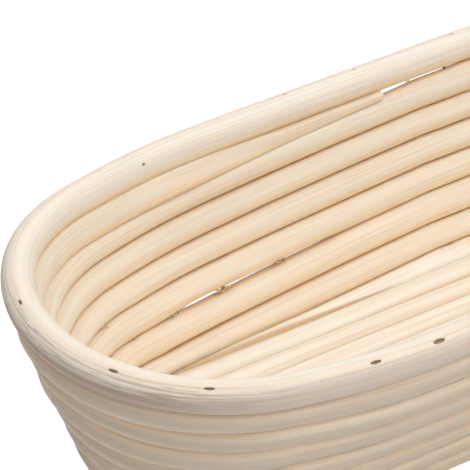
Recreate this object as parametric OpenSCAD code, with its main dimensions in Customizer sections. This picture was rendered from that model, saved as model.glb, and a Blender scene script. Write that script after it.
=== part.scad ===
// Oblong proofing basket of round cane: a flat coiled floor, a coiled wall that leans outwards,
// a level rim hoop and the thin nails that hold row to row.
// Millimetres, +Z up. X runs along the length and Y across. Z = 0 is the surface that it stands on.
// Places round the basket are in degrees, clockwise seen from above, from the middle of the -X end.

/* [Basket] */
// Length over the rim
basket_length = 320; // [260:1:400]
// Width over the rim
basket_width = 140; // [120:1:170]
// Lean of the wall from upright, in degrees
wall_lean = 20; // [8:1:26]
// Rows of cane in the wall, between the floor and the rim
wall_rows = 6; // [3:1:8]
// How much smaller than half the width the radius of the rim's round ends is
shoulder_drop = 5; // [1:0.5:8]
// Radius of the bowed shoulders between the straight sides and the round ends
shoulder_radius = 200; // [150:5:260]

/* [Cane] */
// Diameter of the wall's cane
cane_d = 9.1; // [7:0.1:10]
// Diameter of the rim's cane
rim_cane_d = 9.9; // [7:0.1:12]
// Loops of cane round the middle strand of the floor
floor_loops = 4; // [3:1:5]
// Clear gap between neighbouring rows
row_gap = 0.65; // [0.5:0.05:1]
// Depth of the flat under the cane that the basket stands on
foot_depth = 0.9; // [0.5:0.1:1]
// Thickness to which the upper end of the wall's cane is shaved
shaved_d = 2.6; // [2:0.1:4]

/* [Climb] */
// Place where each row of the wall starts to climb
climb_from = 18; // [6:1:36]
// Place where each row of the wall has reached the level of the next
climb_to = 102; // [90:1:120]
// Place of the lower end of the wall's cane
wall_cane_start = 60; // [54:1:75]
// Place of the upper end of the wall's cane
wall_cane_end = 97.5; // [75:0.5:97.5]

/* [Rim joint] */
// Place where the two ends of the rim's cane meet
rim_joint = 258; // [240:1:300]
// Length of the slanted cut per unit of cane width
scarf_slope = 2; // [0:0.25:2.5]

/* [Nails] */
// Diameter of a nail
nail_d = 1.2; // [0.8:0.1:1.6]
// Nails in each row of the wall
nails_per_row = 8; // [4:1:12]
// Rows of nails across the floor
floor_nail_rows = 5; // [3:1:7]
// Diameter of the pit over a rim nail
pit_d = 2.2; // [1.6:0.1:2.6]
// Depth of the pit over a rim nail
pit_depth = 1.4; // [0.8:0.1:2]

/* [Hidden] */
// Places of the rim's nails, in degrees, counted on past a full turn on the side where the rows climb
rim_nail_places = [112, 136, 160, 181, 204, 226, 246, 270, 286, 301, 311, 334, 347, 367, 409];
// Share of the lower cane's thickness that a nail enters
nail_bite = 0.65;
// How far a nail's head lies under the surface of its cane
nail_sink = 0.3;
// Sides of the wall's and the floor's cane, and of the rim's
cane_sides = 8;
rim_sides = 12;
// Sections of a full turn
turn_sections = 48;
// Sections of a half turn of the floor
bend_sections = 10;
// How far round its last bend the outer end of the floor's cane runs
floor_end_bend = 110;
// Share of a turn over which the direction of a row is measured
probe = 0.002;

row_pitch = cane_d + row_gap;
rim_rise = (cane_d + rim_cane_d) / 2 + row_gap;
rim_slant = wall_rows * row_pitch + rim_rise;
rim_reach = rim_slant * sin(wall_lean);
floor_row_z = cane_d / 2 - foot_depth;
floor_half_width = (basket_width - rim_cane_d) / 2 - rim_reach;
floor_half_length = (basket_length - rim_cane_d) / 2 - rim_reach;

// The floor's cane fills the width inside the lowest row of the wall
floor_pitch = (floor_half_width - row_pitch / 2) / (floor_loops + 0.5);
floor_cane_d = floor_pitch - row_gap;
floor_z = floor_cane_d / 2 - foot_depth;
floor_bend_x = floor_half_length - floor_half_width;

wall_first_turn = wall_cane_start / 360;
wall_last_turn = wall_rows + 1 + wall_cane_end / 360;
wall_sections = round((wall_last_turn - wall_first_turn) * turn_sections);

// Plan of a row that lies a given reach outside the lowest one: straight sides, bowed shoulders, round ends

function half_width(reach) = floor_half_width + reach;
function half_length(reach) = floor_half_length + reach;
function tip_radius(reach) = half_width(reach) - shoulder_drop * reach / rim_reach;

function shoulder_bend(reach) =
    acos((shoulder_radius - half_width(reach)) / (shoulder_radius - tip_radius(reach)));

function straight_half(reach) =
    let (tip = tip_radius(reach))
    half_length(reach) - tip - (shoulder_radius - tip) * sin(shoulder_bend(reach));

function arc_length(radius, bend) = PI * radius * bend / 180;
function arc_bend(radius, length) = 180 * length / (PI * radius);

// Point at a share of the way from the middle of the +Y side to the +X tip
function quarter_point(reach, share) =
    let (
        straight = straight_half(reach),
        bend = shoulder_bend(reach),
        tip = tip_radius(reach),
        shoulder_end = straight + arc_length(shoulder_radius, bend),
        along = share * (shoulder_end + arc_length(tip, 90 - bend)),
        shoulder_angle = arc_bend(shoulder_radius, along - straight),
        tip_angle = bend + arc_bend(tip, along - shoulder_end)
    )
    along < straight ? [along, half_width(reach)]
    : along < shoulder_end ? [
        straight + shoulder_radius * sin(shoulder_angle),
        half_width(reach) - shoulder_radius * (1 - cos(shoulder_angle))
    ]
    : [half_length(reach) - tip * (1 - sin(tip_angle)), tip * cos(tip_angle)];

// Point at a number of turns, clockwise from the -X tip
function plan_point(reach, turn) =
    let (
        quarters = 4 * (turn - floor(turn)),
        quarter = floor(quarters),
        rest = quarters - quarter,
        point = quarter_point(reach, quarter % 2 == 0 ? 1 - rest : rest),
        side_x = quarter == 0 || quarter == 3 ? -1 : 1,
        side_y = quarter < 2 ? 1 : -1
    )
    [side_x * point.x, side_y * point.y];

function outward(reach, turn) =
    let (step = plan_point(reach, turn + probe) - plan_point(reach, turn - probe))
    [-step.y, step.x, 0] / norm(step);

// Directions up along the leaning wall and square out of it
function wall_up(out) = out * sin(wall_lean) + [0, 0, cos(wall_lean)];
function wall_out(out) = out * cos(wall_lean) - [0, 0, sin(wall_lean)];

// How far outside the lowest row the wall is, a slant distance above that row
function wall_reach(slant) = max(0, slant) * sin(wall_lean);

// Point on the leaning wall, a slant distance above the lowest row
function wall_point(slant, turn) =
    let (point = plan_point(wall_reach(slant), turn))
    [point.x, point.y, floor_row_z + slant * cos(wall_lean)];

// Wall: rows climb by one row's pitch along the +Y side and run level elsewhere

function climb(turn) =
    max(0, min(1, ((turn - floor(turn)) * 360 - climb_from) / (climb_to - climb_from)));

function row_level(turn) = max(0, min(wall_rows, floor(turn) - 1 + climb(turn)));

// Height and width of the wall's cane. Both ends are shaved to the room beside the climbing row.
function wall_cane_size(turn) =
    let (rise = climb(turn), loop = floor(turn))
    loop == 0 ? [cane_d - row_pitch * (1 - rise), cane_d]
    : loop > wall_rows ? [
        max(shaved_d, cane_d - row_pitch * rise),
        cane_d - (cane_d - shaved_d) * rise / climb(wall_last_turn)
    ]
    : [cane_d, cane_d];

// How far the shaved ends move up the wall, to stay on the floor's level or under the rim
function wall_cane_lift(turn) =
    let (rise = climb(turn), loop = floor(turn))
    loop == 0 ? -row_pitch * (1 - rise) / 2
    : loop > wall_rows ? row_pitch * rise / 2
    : 0;

// How far the shaved upper end moves inwards: its inner side stays flush with the rows,
// and near its tip it is pushed into their groove as the row below closes on the rim
function wall_cane_inset(turn) =
    let (
        size = wall_cane_size(turn),
        flush = (cane_d - size[1]) / 2,
        seat = (cane_d + rim_cane_d + size[0] + size[1]) / 4 + row_gap,
        half_room = (rim_rise + row_pitch * (1 - climb(turn))) / 2
    )
    floor(turn) > wall_rows ? max(flush, sqrt(max(0, seat * seat - half_room * half_room))) : 0;

function wall_slant(turn) = row_level(turn) * row_pitch + wall_cane_lift(turn);

function wall_row_point(turn) =
    let (slant = wall_slant(turn), out = outward(wall_reach(slant), turn))
    wall_point(slant, turn) - wall_out(out) * wall_cane_inset(turn);

// One section of a cane: flat sides face along up and across, and nothing goes below the foot
function cane_section(centre, up, across, size, sides = cane_sides) =
    [for (side = [0 : sides - 1])
        let (
            angle = 360 * (side + 0.5) / sides,
            arm = (up * size[0] * cos(angle) + across * size[1] * sin(angle)) / 2 / cos(180 / sides),
            point = centre + arm
        )
        [point.x, point.y, max(0, point.z)]];

// Floor: straight strands joined by half turns about two points, each half a pitch wider than the last

function floor_bend_centre(bend) =
    bend % 2 == 1 ? [floor_bend_x, -floor_pitch / 2] : [-floor_bend_x, 0];

// Point and outward direction on a half turn, with the cane's width there
function floor_station(bend, angle, radius, width) =
    let (
        side = bend % 2 == 1 ? 1 : -1,
        out = [side * sin(angle), side * cos(angle), 0],
        centre = floor_bend_centre(bend)
    )
    [[centre.x, centre.y, floor_z] + out * radius, out, width];

// The outer end narrows into the room between the last half turn and the wall's lowest row
function floor_end_width(angle) = floor_cane_d * (1 + cos(angle)) / 2;

floor_stations = concat(
    [[[-floor_bend_x, 0, floor_z], [0, 1, 0], floor_cane_d]],
    [for (bend = [1 : 2 * floor_loops], section = [0 : bend_sections])
        floor_station(bend, 180 * section / bend_sections, bend * floor_pitch / 2, floor_cane_d)],
    [for (section = [0 : bend_sections])
        let (
            angle = floor_end_bend * section / bend_sections,
            width = floor_end_width(angle),
            radius = (2 * floor_loops + 1) * floor_pitch / 2 - (floor_cane_d - width) / 2
        )
        floor_station(2 * floor_loops + 1, angle, radius, width)]
);

// Sections of the three canes

floor_rings = [for (station = floor_stations)
    cane_section(station[0], [0, 0, 1], station[1], [floor_cane_d, station[2]])];

wall_turns = [for (section = [0 : wall_sections])
    wall_first_turn + section * (wall_last_turn - wall_first_turn) / wall_sections];

wall_rings = [for (turn = wall_turns)
    let (out = outward(wall_reach(wall_slant(turn)), turn))
    cane_section(wall_row_point(turn), wall_up(out), wall_out(out), wall_cane_size(turn))];

// The rim's ends are cut on the same slant, with the row gap between the cuts,
// and the sections that the cuts would cross are left out
rim_perimeter = 4 * (straight_half(rim_reach) + arc_length(shoulder_radius, shoulder_bend(rim_reach))
    + arc_length(tip_radius(rim_reach), 90 - shoulder_bend(rim_reach)));
rim_joint_share = row_gap * sqrt(1 + scarf_slope * scarf_slope) / rim_perimeter;
rim_sections = [0, each [2 : turn_sections - 2], turn_sections];

function rim_turn(section) =
    rim_joint / 360 + rim_joint_share / 2 + (1 - rim_joint_share) * section / turn_sections;

function slant_cut(ring, centre, across, along) =
    [for (point = ring) point + along * scarf_slope * ((point - centre) * across)];

rim_rings = [for (section = rim_sections)
    let (
        turn = rim_turn(section),
        centre = wall_point(rim_slant, turn),
        out = outward(rim_reach, turn),
        ring = cane_section(centre, wall_up(out), wall_out(out), [rim_cane_d, rim_cane_d], rim_sides)
    )
    section % turn_sections == 0 ? slant_cut(ring, centre, out, [out.y, -out.x, 0]) : ring];

// Least distances of the coils to themselves, from section to section of neighbouring rows

function ring_distance(ring, other) = min([for (point = ring, next = other) norm(point - next)]);

wall_least_gap = min([for (i = [0 : wall_sections - turn_sections])
    ring_distance(wall_rings[i], wall_rings[i + turn_sections])]);

floor_least_gap = min([for (i = [0 : len(floor_stations) - 1 - bend_sections])
    for (j = [i + bend_sections : len(floor_stations) - 1])
        norm(floor_stations[i][0] - floor_stations[j][0])
        - (floor_stations[i][2] + floor_stations[j][2]) / 2]);

echo(wall_coil_least_gap = wall_least_gap, floor_coil_least_gap = floor_least_gap);

// Shapes shared by the sub-parts

function tube_faces(count, sides) =
    concat(
        [for (ring = [0 : count - 2], side = [0 : sides - 1], half = [0, 1])
            let (
                a = ring * sides + side,
                b = ring * sides + (side + 1) % sides
            )
            half == 0 ? [a, b, b + sides] : [a, b + sides, a + sides]],
        [for (side = [1 : sides - 2]) [0, side + 1, side]],
        [for (side = [1 : sides - 2])
            let (last = (count - 1) * sides)
            [last, last + side, last + side + 1]]
    );

module cane(rings) {
    points = [for (ring = rings) each ring];
    polyhedron(points, tube_faces(len(rings), len(rings[0])), convexity = 20);
}

module rod(from, to, d) {
    step = to - from;
    translate(from)
        rotate([0, acos(step.z / norm(step)), atan2(step.y, step.x)])
            cylinder(h = norm(step), d = d, $fn = 24);
}

// Sub-parts

module floor_coil() {
    color("burlywood") cane(floor_rings);
}

module wall_coil() {
    color("wheat") cane(wall_rings);
}

module rim_hoop() {
    color("antiquewhite") difference() {
        cane(rim_rings);
        for (place = rim_nail_places) {
            up = wall_up(outward(rim_reach, place / 360));
            top = wall_point(rim_slant, place / 360) + up * rim_cane_d / 2;
            rod(top - up * pit_depth, top + up * pit_depth, pit_d);
        }
    }
}

// Nails down through the rim into the row below, with their heads at the bottom of the pits
module rim_nails() {
    color("dimgray") for (place = rim_nail_places) {
        up = wall_up(outward(rim_reach, place / 360));
        centre = wall_point(rim_slant, place / 360);
        head = rim_cane_d / 2 - pit_depth;
        tip = rim_rise + (nail_bite - 0.5) * cane_d;
        rod(centre + up * head, centre - up * tip, nail_d);
    }
}

// Nails down through one row of the wall into the row below it
module row_nails(row) {
    color("dimgray") for (nail = [0 : nails_per_row - 1]) {
        turn = row - 1 + climb_to / 360 + (nail + (row % 2) / 2) / nails_per_row;
        lower = wall_row_point(turn);
        upper = wall_row_point(turn + 1);
        down = (lower - upper) / norm(lower - upper);
        head = wall_cane_size(turn + 1)[0] / 2 - nail_sink;
        rod(upper - down * head, lower + down * (nail_bite - 0.5) * cane_d, nail_d);
    }
}

// Nails in from outside, through the wall's lowest row into the floor
module base_nails() {
    color("dimgray") for (nail = [0 : floor_nail_rows - 1], side = [-1, 1]) {
        x = floor_bend_x * (2 * nail / (floor_nail_rows - 1) - 1);
        outer = floor_half_width + cane_d / 2 - nail_sink;
        inner = floor_loops * floor_pitch - (nail_bite - 0.5) * floor_cane_d;
        rod([x, side * outer, floor_row_z], [x, side * inner, floor_row_z], nail_d);
    }
}

// Nails across the floor, each through one strand into the next one inside it
module floor_nails() {
    color("dimgray") for (row = [0 : floor_nail_rows - 2], loop = [1 : floor_loops], side = [-1, 1]) {
        x = floor_bend_x * ((2 * row + 1 + (loop % 2) / 2) / (floor_nail_rows - 1) - 1) + side * nail_d;
        outer = loop * floor_pitch + floor_cane_d / 2 - nail_sink;
        inner = (loop - 1) * floor_pitch - (nail_bite - 0.5) * floor_cane_d;
        rod([x, side * outer, floor_z], [x, side * inner, floor_z], nail_d);
    }
}

floor_coil();
wall_coil();
rim_hoop();
rim_nails();
base_nails();
floor_nails();
for (row = [1 : wall_rows])
    row_nails(row);
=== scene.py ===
import logging
import math
from dataclasses import dataclass, fields
from enum import Enum
from functools import reduce

import bpy
import numpy as np
from mathutils import Matrix, Vector


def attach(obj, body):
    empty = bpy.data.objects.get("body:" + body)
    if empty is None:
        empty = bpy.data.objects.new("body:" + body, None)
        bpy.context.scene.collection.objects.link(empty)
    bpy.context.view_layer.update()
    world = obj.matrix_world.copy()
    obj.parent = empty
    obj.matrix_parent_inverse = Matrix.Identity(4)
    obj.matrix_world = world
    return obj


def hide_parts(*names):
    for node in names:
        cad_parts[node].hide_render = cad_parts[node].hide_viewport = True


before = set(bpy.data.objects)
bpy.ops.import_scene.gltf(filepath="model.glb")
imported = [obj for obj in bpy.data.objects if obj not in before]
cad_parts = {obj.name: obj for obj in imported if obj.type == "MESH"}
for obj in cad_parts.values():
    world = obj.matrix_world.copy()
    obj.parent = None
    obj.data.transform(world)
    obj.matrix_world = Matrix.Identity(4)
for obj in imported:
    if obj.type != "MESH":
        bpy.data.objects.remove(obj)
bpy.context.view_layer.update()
LOG = logging.getLogger("proofing_basket")

MM = 0.001
TURN = 360.0
BODY = "root"
# Shade value of stations with neither the tan band nor the painted highlight of the wall's start.
UNSHAVED = -2.0

Array = np.ndarray
Triple = tuple[float, float, float]
Material = bpy.types.Material
Object = bpy.types.Object
Socket = bpy.types.NodeSocket
Tree = bpy.types.NodeTree


class TreeKind(Enum):
    """Kinds of node tree that the script builds."""

    GEOMETRY = "GeometryNodeTree"
    SHADER = "ShaderNodeTree"


class Slot(Enum):
    """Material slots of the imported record."""

    FLOOR = "floor_cane"
    WALL = "wall_cane"
    RIM = "rim_cane"
    NAIL = "nail_steel"


class Nodes:
    """A node tree under construction, with short ways to add nodes, maths and links."""

    MIX_FIRST, MIX_SECOND, MIX_RESULT = 6, 7, 2

    def __init__(self, tree: Tree) -> None:
        """Keeps the tree that nodes are added to."""
        self.tree = tree

    def add(self, kind: str, settings: dict | None = None, inputs: dict | None = None) -> bpy.types.Node:
        """Adds one node.

        Args:
            kind: The node's type name.
            settings: Properties of the node, by name.
            inputs: Values or sockets for its inputs, by name or number.

        Returns:
            The new node.
        """
        node = self.tree.nodes.new(kind)
        for name, value in (settings or {}).items():
            setattr(node, name, value)
        for name, value in (inputs or {}).items():
            self.feed(node.inputs[name], value)
        return node

    def feed(self, socket: Socket, value: object) -> None:
        """Links a socket to an input, or sets the input to a plain value.

        Args:
            socket: The input socket.
            value: An output socket, or a number, string or tuple.
        """
        if isinstance(value, Socket):
            self.tree.links.new(value, socket)
        else:
            socket.default_value = value

    def math(self, operation: str, *values: object) -> Socket:
        """The result of a Math node."""
        return self.add("ShaderNodeMath", {"operation": operation}, dict(enumerate(values))).outputs[0]

    def times(self, *values: object) -> Socket:
        """The product of two or more numbers."""
        return reduce(lambda first, second: self.math("MULTIPLY", first, second), values)

    def rest(self, value: object) -> Socket:
        """What is left of one when a number is taken away."""
        return self.math("SUBTRACT", 1.0, value)

    def vector(self, operation: str, *values: object) -> Socket:
        """The result of a Vector Math node, which is a number for a dot product."""
        node = self.add("ShaderNodeVectorMath", {"operation": operation}, dict(enumerate(values)))
        return node.outputs["Value" if operation == "DOT_PRODUCT" else "Vector"]

    def scaled(self, vector: object, factor: object) -> Socket:
        """A vector times a number."""
        node = self.add("ShaderNodeVectorMath", {"operation": "SCALE"}, {0: vector, "Scale": factor})
        return node.outputs["Vector"]

    def xyz(self, *parts: object) -> Socket:
        """A vector of one to three numbers."""
        return self.add("ShaderNodeCombineXYZ", None, dict(enumerate(parts))).outputs["Vector"]

    def smooth(self, value: object, low: float, high: float) -> Socket:
        """A smooth step from 0 at low to 1 at high."""
        inputs = {"Value": value, "From Min": low, "From Max": high}
        return self.add("ShaderNodeMapRange", {"interpolation_type": "SMOOTHSTEP"}, inputs).outputs["Result"]

    def blend(self, factor: object, first: object, second: object) -> Socket:
        """A mix of two colours, with the second one's share as the factor."""
        inputs = {0: factor, self.MIX_FIRST: first, self.MIX_SECOND: second}
        return self.add("ShaderNodeMix", {"data_type": "RGBA"}, inputs).outputs[self.MIX_RESULT]


class Group(Nodes):
    """A node group with named inputs and outputs."""

    def __init__(self, name: str, kind: TreeKind) -> None:
        """Makes an empty group.

        Args:
            name: The group's name.
            kind: Geometry or shader.
        """
        super().__init__(bpy.data.node_groups.new(name, kind.value))
        self.inlet = self.tree.nodes.new("NodeGroupInput")
        self.outlet = self.tree.nodes.new("NodeGroupOutput")
        if kind is TreeKind.GEOMETRY:
            self.tree.is_modifier = True

    def takes(self, **kinds: str) -> list[Socket]:
        """Adds inputs.

        Args:
            kinds: The sockets' types by name, such as Float or Vector.

        Returns:
            The sockets inside the group.
        """
        for name, kind in kinds.items():
            self.tree.interface.new_socket(name=name, in_out="INPUT", socket_type="NodeSocket" + kind)
        return [self.inlet.outputs[name] for name in kinds]

    def give(self, name: str, kind: str, value: Socket) -> None:
        """Adds an output that carries a value."""
        self.tree.interface.new_socket(name=name, in_out="OUTPUT", socket_type="NodeSocket" + kind)
        self.tree.links.new(value, self.outlet.inputs[name])

    def attribute(self, name: str, kind: str = "FLOAT") -> Socket:
        """A named attribute of the geometry."""
        node = self.add("GeometryNodeInputNamedAttribute", {"data_type": kind}, {"Name": name})
        return node.outputs["Attribute"]

    def position(self) -> Socket:
        """The points' places."""
        return self.add("GeometryNodeInputPosition").outputs["Position"]

    def sample(self, geometry: Socket, value: Socket, index: Socket, kind: str) -> Socket:
        """A value at one point of a geometry."""
        inputs = {"Geometry": geometry, "Value": value, "Index": index}
        return self.add("GeometryNodeSampleIndex", {"data_type": kind, "domain": "POINT"}, inputs).outputs["Value"]

    def read(self, geometry: Socket, index: Socket, kinds: dict[str, str]) -> dict[str, Socket]:
        """Named attributes at one point of a geometry, from their data types by name."""
        return {key: self.sample(geometry, self.attribute(key, kind), index, kind) for key, kind in kinds.items()}

    def store(
        self, geometry: Socket, name: str, value: Socket, kind: str = "FLOAT", domain: str = "POINT"
    ) -> Socket:
        """Stores a named attribute on the geometry.

        Args:
            geometry: The geometry.
            name: The attribute's name.
            value: The field that is stored.
            kind: Its data type.
            domain: Where it is stored.

        Returns:
            The geometry with the attribute.
        """
        inputs = {"Geometry": geometry, "Name": name, "Value": value}
        settings = {"data_type": kind, "domain": domain}
        return self.add("GeometryNodeStoreNamedAttribute", settings, inputs).outputs["Geometry"]

    def change(self, kind: str, geometry: Socket, inputs: dict | None = None) -> Socket:
        """The geometry after a node that changes it."""
        return self.add(kind, None, {"Geometry": geometry, **(inputs or {})}).outputs["Geometry"]

    def close(self, geometry: Socket, material: Socket) -> Tree:
        """Ends a geometry group in Realize Instances and Set Material.

        Args:
            geometry: The finished geometry.
            material: The material.

        Returns:
            The finished tree.
        """
        whole = self.change("GeometryNodeRealizeInstances", geometry)
        self.give("Geometry", "Geometry", self.change("GeometryNodeSetMaterial", whole, {"Material": material}))
        return self.tree


class Paint(Nodes):
    """A material under construction."""

    def __init__(self, name: str) -> None:
        """Makes a material with a plain shader.

        Args:
            name: The material's name.
        """
        self.material = bpy.data.materials.new(name)
        self.material.use_nodes = True
        super().__init__(self.material.node_tree)

    def attribute(self, name: str, output: str) -> Socket:
        """A named attribute of the mesh, as Vector or Fac."""
        return self.add("ShaderNodeAttribute", {"attribute_name": name}).outputs[output]

    def blotches(self, scale: float, detail: float) -> Socket:
        """Noise in the piece's own space."""
        inputs = {"Vector": self.add("ShaderNodeTexCoord").outputs["Object"], "Scale": scale, "Detail": detail}
        return self.add("ShaderNodeTexNoise", None, inputs).outputs["Fac"]

    def bump(self, height: Socket, depth: float, strength: float) -> Socket:
        """The surface's direction with a bump."""
        inputs = {"Height": height, "Distance": depth, "Strength": strength}
        return self.add("ShaderNodeBump", None, inputs).outputs["Normal"]

    def done(self, inputs: dict[str, object]) -> Material:
        """Sets the shader's inputs.

        Args:
            inputs: Values or sockets by name.

        Returns:
            The finished material.
        """
        for name, value in inputs.items():
            self.feed(self.tree.nodes["Principled BSDF"].inputs[name], value)
        return self.material


def ease(share: Array) -> Array:
    """A share from 0 to 1 that starts and ends gently."""
    return share * share * (3.0 - 2.0 * share)


def step(value: Array, low: float, high: float) -> Array:
    """A smooth step from 0 at low to 1 at high."""
    return ease(np.clip((value - low) / (high - low), 0.0, 1.0))


def smooth_noise(along: Array, wavelength: float, seed: int) -> Array:
    """Slow random variation along a path.

    Args:
        along: Distances along the path.
        wavelength: Distance between the random values.
        seed: Seed of the random values.

    Returns:
        Values from -1 to 1.
    """
    place = (along - along.min()) / wavelength
    knots = np.random.RandomState(seed).uniform(-1.0, 1.0, int(place.max()) + 3)
    first = np.floor(place).astype(int)
    share = ease(place - first)
    return knots[first] * (1.0 - share) + knots[first + 1] * share


def distances(points: Array) -> Array:
    """Distance of each point of a line from its start."""
    return np.concatenate([[0.0], np.cumsum(np.linalg.norm(np.diff(points, axis=0), axis=1))])


def unit(vectors: Array) -> Array:
    """Vectors brought to a length of one."""
    return vectors / np.linalg.norm(vectors, axis=1, keepdims=True)


def in_scene(name: str, data: bpy.types.ID) -> Object:
    """Puts a new object in the scene.

    Args:
        name: The object's name.
        data: Its mesh, lamp or camera.

    Returns:
        The object.
    """
    made = bpy.data.objects.new(name, data)
    bpy.context.scene.collection.objects.link(made)
    return made


def points_object(name: str, points: Array, attributes: dict[str, Array]) -> Object:
    """Makes an object of bare points that carry attributes.

    Args:
        name: The object's name.
        points: The places.
        attributes: Numbers or vectors for each point, by name.

    Returns:
        The object.
    """
    mesh = bpy.data.meshes.new(name)
    mesh.from_pydata([tuple(point) for point in points], [], [])
    for key, values in attributes.items():
        kind, field = ("FLOAT_VECTOR", "vector") if values.ndim == 2 else ("FLOAT", "value")
        layer = mesh.attributes.new(key, kind, "POINT")
        layer.data.foreach_set(field, np.ascontiguousarray(values, np.float32).ravel())
    return in_scene(name, mesh)


def grow(name: str, points: Object, stages: list[tuple[Tree, dict]]) -> Object:
    """Runs geometry trees on an object of points and keeps the result as a plain mesh.

    Args:
        name: The piece's name.
        points: The object of points, which is removed.
        stages: Trees with the values of their inputs, by input name.

    Returns:
        The piece.
    """
    for tree, values in stages:
        modifier = points.modifiers.new(tree.name, "NODES")
        modifier.node_group = tree
        names = {item.name: item.identifier for item in tree.interface.items_tree if item.in_out == "INPUT"}
        for key, value in values.items():
            modifier[names[key]] = value
    depsgraph = bpy.context.evaluated_depsgraph_get()
    mesh = bpy.data.meshes.new_from_object(points.evaluated_get(depsgraph), depsgraph=depsgraph)
    points.modifiers.clear()
    bpy.data.objects.remove(points)
    mesh.name = name
    return in_scene(name, mesh)


def place(piece: Object, slot: Slot, *nodes: str) -> None:
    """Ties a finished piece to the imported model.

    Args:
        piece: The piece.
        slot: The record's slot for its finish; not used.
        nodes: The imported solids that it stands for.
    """
    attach(piece, BODY)
    if nodes:
        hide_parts(*nodes)
    LOG.info("%s: %d faces", piece.name, len(piece.data.polygons))


@dataclass(frozen=True)
class Curve:
    """Values by place round the basket in degrees, with straight lines between them."""

    places: tuple[float, ...]
    values: tuple[float, ...]
    scale: float = 1.0

    def at(self, degrees: Array) -> Array:
        """The values at some places."""
        return np.interp(degrees, self.places, self.values) * self.scale


@dataclass(frozen=True)
class CanePath:
    """Stations along a cane.

    They hold its middle, the directions across it, its sizes, the slant of cut ends, the squareness of the
    section, the rise that parts the tan lower part of the wall's start from its painted highlight, and the
    roughness.
    """

    centre: Array
    up: Array
    out: Array
    high: Array
    wide: Array
    slant: Array
    square: Array
    shade: Array
    rough: Array

    def capped(self) -> "CanePath":
        """Adds a station of no size at each end, which closes the cane.

        Returns:
            The closed path.
        """
        ends = [0, *range(len(self.high)), -1]
        path = CanePath(*(getattr(self, field.name)[ends] for field in fields(self)))
        path.high[[0, -1]] = 0.0
        path.wide[[0, -1]] = 0.0
        return path

    def points(self, name: str) -> Object:
        """The stations as an object of points.

        Args:
            name: The object's name.

        Returns:
            The object.
        """
        path = self.capped()
        data = {field.name: getattr(path, field.name) for field in fields(path) if field.name != "centre"}
        return points_object(name, path.centre, {**data, "along": distances(path.centre)})


@dataclass(frozen=True)
class RowDrift:
    """Natural unevenness: how far the lines between the rows lie above an even pitch, in mm by line and place."""

    places: tuple[float, ...] = (4, 14, 20, 27, 40, 55, 70, 85, 105, 112, 130)
    lifts: tuple[tuple[float, ...], ...] = (
        (0.0, 0.0, 0.0, 0.0, 0.0, 0.0, 0.0, 0.0, 0.0, 0.0, 0.0),
        (0.0, 0.0, 0.2, 0.4, 0.8, 0.8, 0.3, 0.25, 0.5, 0.75, 0.0),
        (0.0, 0.0, -0.35, -0.75, -1.5, -0.7, -0.25, 0.0, -0.1, 0.0, 0.0),
        (0.0, 0.0, -0.25, -0.5, -1.0, 0.0, 0.5, 0.8, 1.0, 1.2, 0.0),
        (0.0, 0.0, -0.05, -0.1, -0.25, 0.6, 0.97, 1.0, 0.9, 1.0, 0.0),
        (0.0, 0.0, -0.1, -0.2, -0.4, 0.2, 0.9, 1.0, 0.66, 0.8, 0.0),
        (0.0, 0.0, -0.1, -0.15, -0.33, -0.2, 0.25, 0.25, -0.1, 0.0, 0.0),
        (-0.4, 0.0, 0.1, -0.2, -0.85, -0.65, -0.3, 0.2, 0.6, 0.6, -0.4),
        (-0.2, 0.35, 0.5, 0.2, -0.45, -0.25, 0.1, 0.5, 0.95, 0.95, -0.2),
    )
    near_drop: Curve = Curve(
        (240, 262, 285, 296, 299, 304.5, 309.5, 316, 323), (0.0, 2.5, 4.9, 4.8, 4.4, 3.8, 3.1, 1.7, 0.0), MM
    )
    near_shares: tuple[float, ...] = (0.0, 0.25, 0.5, 0.8, 1.0, 1.0, 1.0, 0.3, 0.0)

    def lift(self, line: Array, degrees: Array) -> Array:
        """Lifts of the lines.

        Args:
            line: Numbers of the lines, from 0 at the floor to 7 at the top row, and 8 for the rim.
            degrees: Places round the basket.

        Returns:
            Distances up the wall.
        """
        lifts = np.array([Curve(self.places, row, MM).at(degrees) for row in self.lifts])
        number = np.clip(line, 0, len(self.lifts) - 1).astype(int)
        drop = self.near_drop.at(degrees) * np.array(self.near_shares)[number]
        return np.take_along_axis(lifts, number[None, :], axis=0)[0] - drop


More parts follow.
